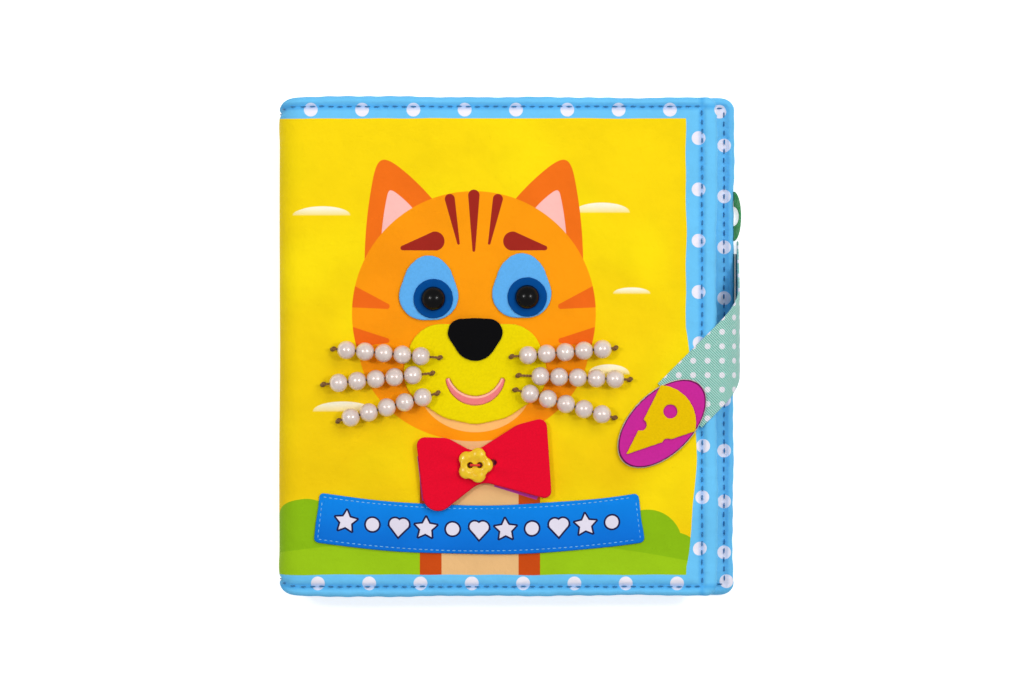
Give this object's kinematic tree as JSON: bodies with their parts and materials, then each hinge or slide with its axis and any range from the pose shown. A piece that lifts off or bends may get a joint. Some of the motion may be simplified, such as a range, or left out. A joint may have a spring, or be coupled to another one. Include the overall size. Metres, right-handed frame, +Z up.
{
  "type": "felt book",
  "caption": "Closed soft cloth book with a cat face in felt, bead whiskers, a bow on a flower button, a banner and a closing strap with an oval tab.",
  "frame": {"origin": "on the back cover's underside, below the middle of the cover picture's frame", "axes": "+Z up out of the front cover, +Y to the head of the book, +X to the open side away from the spine"},
  "size_m": [0.2028, 0.218, 0.0416],
  "materials": {
    "cover_cloth": "printed padded cloth",
    "page_cloth": "soft padded cloth",
    "yellow_felt": "felt",
    "pink_felt": "felt",
    "black_felt": "felt",
    "sky_felt": "felt",
    "navy_felt": "felt",
    "black_bead": "polished",
    "red_felt": "felt",
    "yellow_plastic": "polished",
    "red_thread": "twisted thread",
    "banner_cloth": "printed cloth with a stitched edge",
    "strap_ribbon": "ribbed ribbon",
    "lining_felt": "felt",
    "magenta_felt": "felt",
    "cheese_felt": "felt",
    "strip_tape": "hook and loop tape",
    "green_ribbon": "woven ribbon",
    "brown_cord": "elastic cord",
    "pearl": "pearl lustre"
  },
  "bodies": {
    "back": {"back_cover": "cover_cloth", "loop_strip": "strip_tape", "ribbon_loop": "green_ribbon"},
    "block": {"spine": "cover_cloth", "pages": "page_cloth"},
    "front": {"front_cover": "cover_cloth", "muzzle": "yellow_felt", "mouth": "pink_felt", "nose": "black_felt", "eye_left": "sky_felt", "eye_right": "sky_felt", "iris_left": "navy_felt", "iris_right": "navy_felt", "pupil_left": "black_bead", "pupil_right": "black_bead", "flower_button": "yellow_plastic", "button_thread": "red_thread", "banner": "banner_cloth", "strap": "strap_ribbon", "hook_strip": "strip_tape", "tab_lining": "lining_felt", "tab": "magenta_felt", "cheese": "cheese_felt", "whisker_cord_left_top": "brown_cord", "whisker_cord_left_middle": "brown_cord", "whisker_cord_left_bottom": "brown_cord", "whisker_cord_right_top": "brown_cord", "whisker_cord_right_middle": "brown_cord", "whisker_cord_right_bottom": "brown_cord"},
    "bow_body": {"bow": "red_felt"},
    "pearls_left_top_body": {"pearls_left_top": "pearl"},
    "pearls_left_middle_body": {"pearls_left_middle": "pearl"},
    "pearls_left_bottom_body": {"pearls_left_bottom": "pearl"},
    "pearls_right_top_body": {"pearls_right_top": "pearl"},
    "pearls_right_middle_body": {"pearls_right_middle": "pearl"},
    "pearls_right_bottom_body": {"pearls_right_bottom": "pearl"}
  },
  "joints": [
    {"name": "back_cover_open", "type": "hinge", "parent": "back", "child": "block", "pos_m": [-0.0975, 0, 0.0025], "axis": [0, -1, 0], "range_deg": [0, 90]},
    {"name": "front_cover_open", "type": "hinge", "parent": "block", "child": "front", "pos_m": [-0.0975, 0, 0.0296], "axis": [0, -1, 0], "range_deg": [0, 180]},
    {"name": "bow_turn", "type": "hinge", "parent": "front", "child": "bow_body", "pos_m": [-0.0144, -0.0517, 0.0336], "axis": [0, 0, 1], "range_deg": [-20, 8]},
    {"name": "pearls_left_top_slide", "type": "slide", "parent": "front", "child": "pearls_left_top_body", "axis": [0.9966, -0.0819, 0], "range_m": [-0.0009, 0.0032]},
    {"name": "pearls_left_middle_slide", "type": "slide", "parent": "front", "child": "pearls_left_middle_body", "axis": [0.9947, 0.1028, 0], "range_m": [-0.0019, 0.0024]},
    {"name": "pearls_left_bottom_slide", "type": "slide", "parent": "front", "child": "pearls_left_bottom_body", "axis": [0.9632, 0.2689, 0], "range_m": [-0.0008, 0.0017]},
    {"name": "pearls_right_top_slide", "type": "slide", "parent": "front", "child": "pearls_right_top_body", "axis": [-0.9966, -0.0819, 0], "range_m": [-0.0007, 0.0022]},
    {"name": "pearls_right_middle_slide", "type": "slide", "parent": "front", "child": "pearls_right_middle_body", "axis": [-0.9993, 0.0366, 0], "range_m": [-0.0015, 0.0021]},
    {"name": "pearls_right_bottom_slide", "type": "slide", "parent": "front", "child": "pearls_right_bottom_body", "axis": [-0.9622, 0.2723, 0], "range_m": [-0.0008, 0.0016]}
  ]
}
